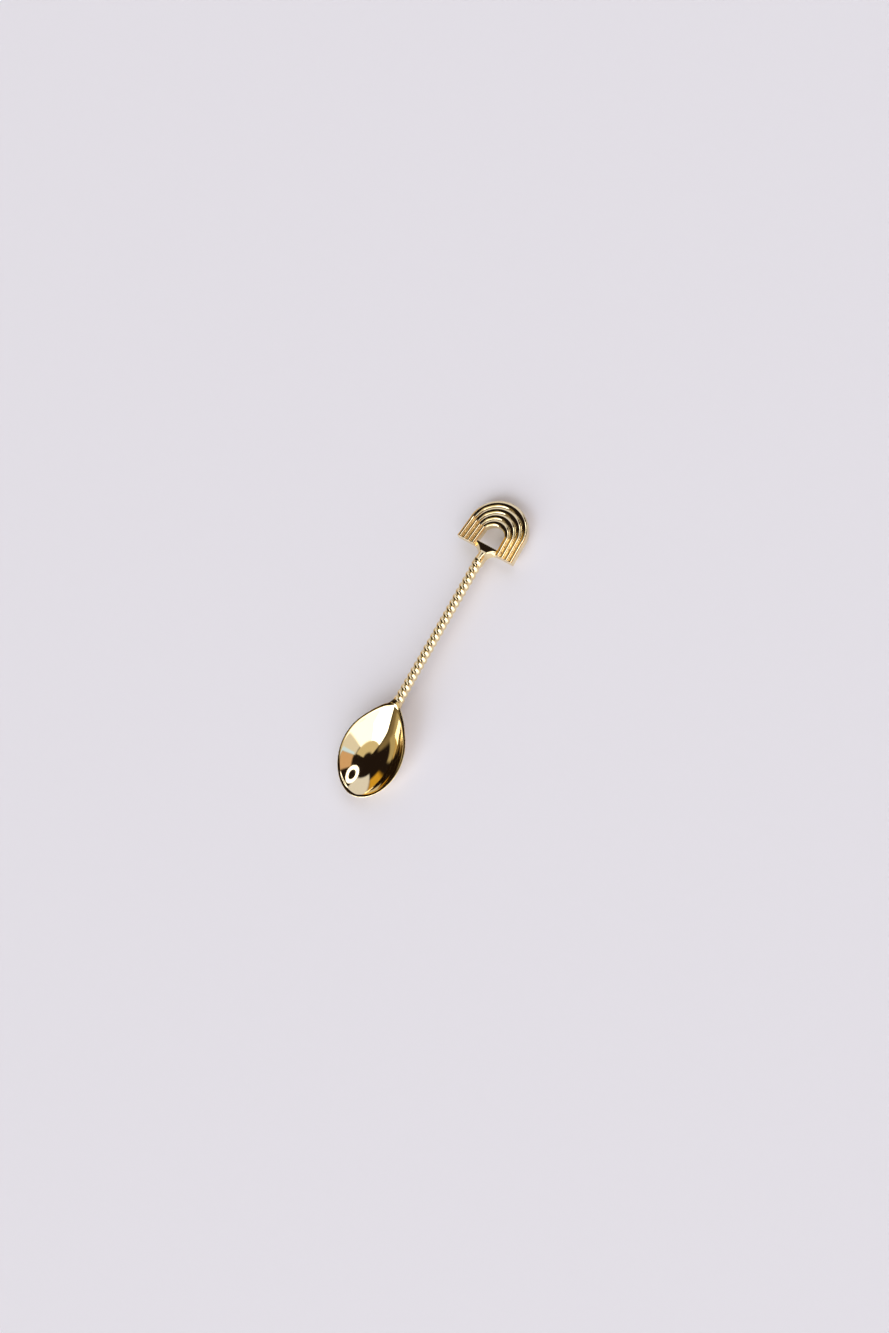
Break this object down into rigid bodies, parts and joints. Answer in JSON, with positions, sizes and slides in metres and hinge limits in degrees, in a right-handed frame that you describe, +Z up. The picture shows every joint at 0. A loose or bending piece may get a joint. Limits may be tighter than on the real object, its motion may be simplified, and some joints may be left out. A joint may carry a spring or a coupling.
{
  "type": "serving spoon",
  "caption": "Small cast brass spoon with an egg-shaped bowl, a rope-twisted stem and a ridged arch with a D-shaped window for a head.",
  "frame": {"origin": "centre of the resting spoon's outline in plan, on the surface it lies on", "axes": "+Y along the spoon from the bowl's tip to the arch, +Z up out of the bowl, +X across to the right seen from above with the arch at the top"},
  "size_m": [0.0251, 0.1206, 0.0105],
  "materials": {
    "brass": "polished, lightly textured cast metal"
  },
  "bodies": {
    "root": {"spoon": "brass"}
  },
  "joints": []
}
